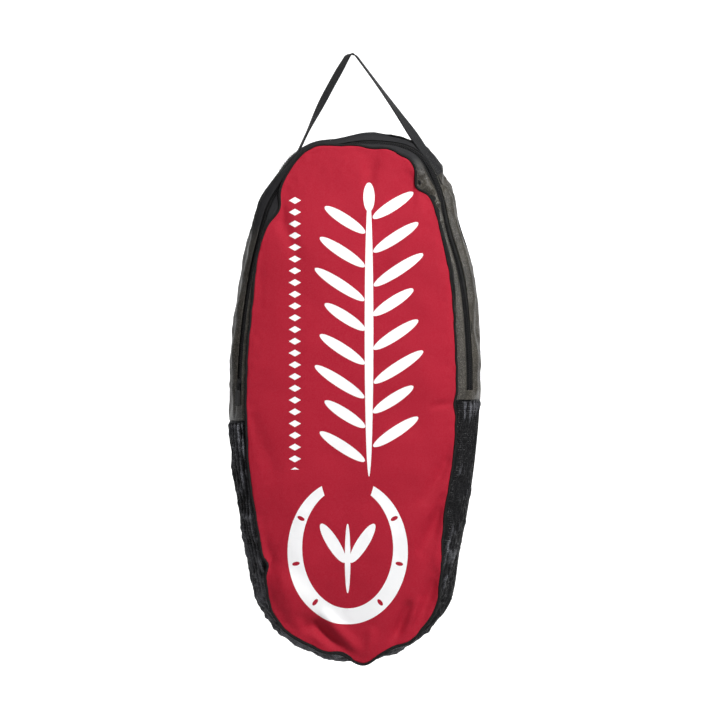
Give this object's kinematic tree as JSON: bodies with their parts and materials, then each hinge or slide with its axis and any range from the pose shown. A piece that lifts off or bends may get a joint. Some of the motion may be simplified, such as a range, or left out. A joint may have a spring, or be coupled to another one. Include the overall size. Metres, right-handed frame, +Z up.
{
  "type": "hay bag",
  "caption": "Tall oval hay bag hung by a webbing loop: cloth front, net back, zipped cloth gusset above and net gusset below, piped seams.",
  "frame": {"origin": "the point under the top of the handle loop where a hook holds it", "axes": "+Z up, -Y out of the front panel, +X to the right seen from the front"},
  "size_m": [0.385, 0.0924, 0.9324],
  "materials": {
    "front_cloth": "fine woven polyester, satin",
    "gusset_cloth": "coated woven polyester, semi-gloss",
    "net": "knitted net",
    "trim": "braided cord and tape",
    "webbing": "flat woven webbing",
    "thread": "polyester thread",
    "zip_plastic": "moulded",
    "slider_metal": "black enamel",
    "grip_plastic": "moulded"
  },
  "bodies": {
    "handle": {"handle_loop": "webbing"},
    "bag": {"front_panel": "front_cloth", "back_panel": "net", "front_piping": "trim", "rear_piping": "trim", "gusset_front_strip": "gusset_cloth", "gusset_rear_strip": "gusset_cloth", "net_gusset": "net", "zip_tape_front": "trim", "zip_tape_rear": "trim", "zip_teeth_front": "zip_plastic", "zip_teeth_rear": "zip_plastic", "zip_stops": "zip_plastic", "zip_end_tab_left": "gusset_cloth", "zip_end_tab_right": "gusset_cloth", "seam_binding_left": "trim", "seam_binding_right": "trim", "handle_tab_left": "webbing", "handle_tab_right": "webbing", "handle_stitching_left": "thread", "handle_stitching_right": "thread"},
    "slider": {"slider_body": "slider_metal"},
    "puller": {"puller_link": "slider_metal", "puller_grip": "grip_plastic"}
  },
  "joints": [
    {"name": "handle_fold", "type": "hinge", "parent": "handle", "child": "bag", "pos_m": [0, 0, -0.124], "axis": [1, 0, 0], "range_deg": [-40, 40]},
    {"name": "zip_run", "type": "hinge", "parent": "bag", "child": "slider", "pos_m": [0.84, 0, -0.528], "axis": [0, 1, 0], "range_deg": [0, 14]},
    {"name": "puller_swing", "type": "hinge", "parent": "slider", "child": "puller", "pos_m": [-0.17261, -0.03722, -0.50443], "axis": [-0.6108, 0.7916, 0.0154], "range_deg": [0, 150]}
  ]
}
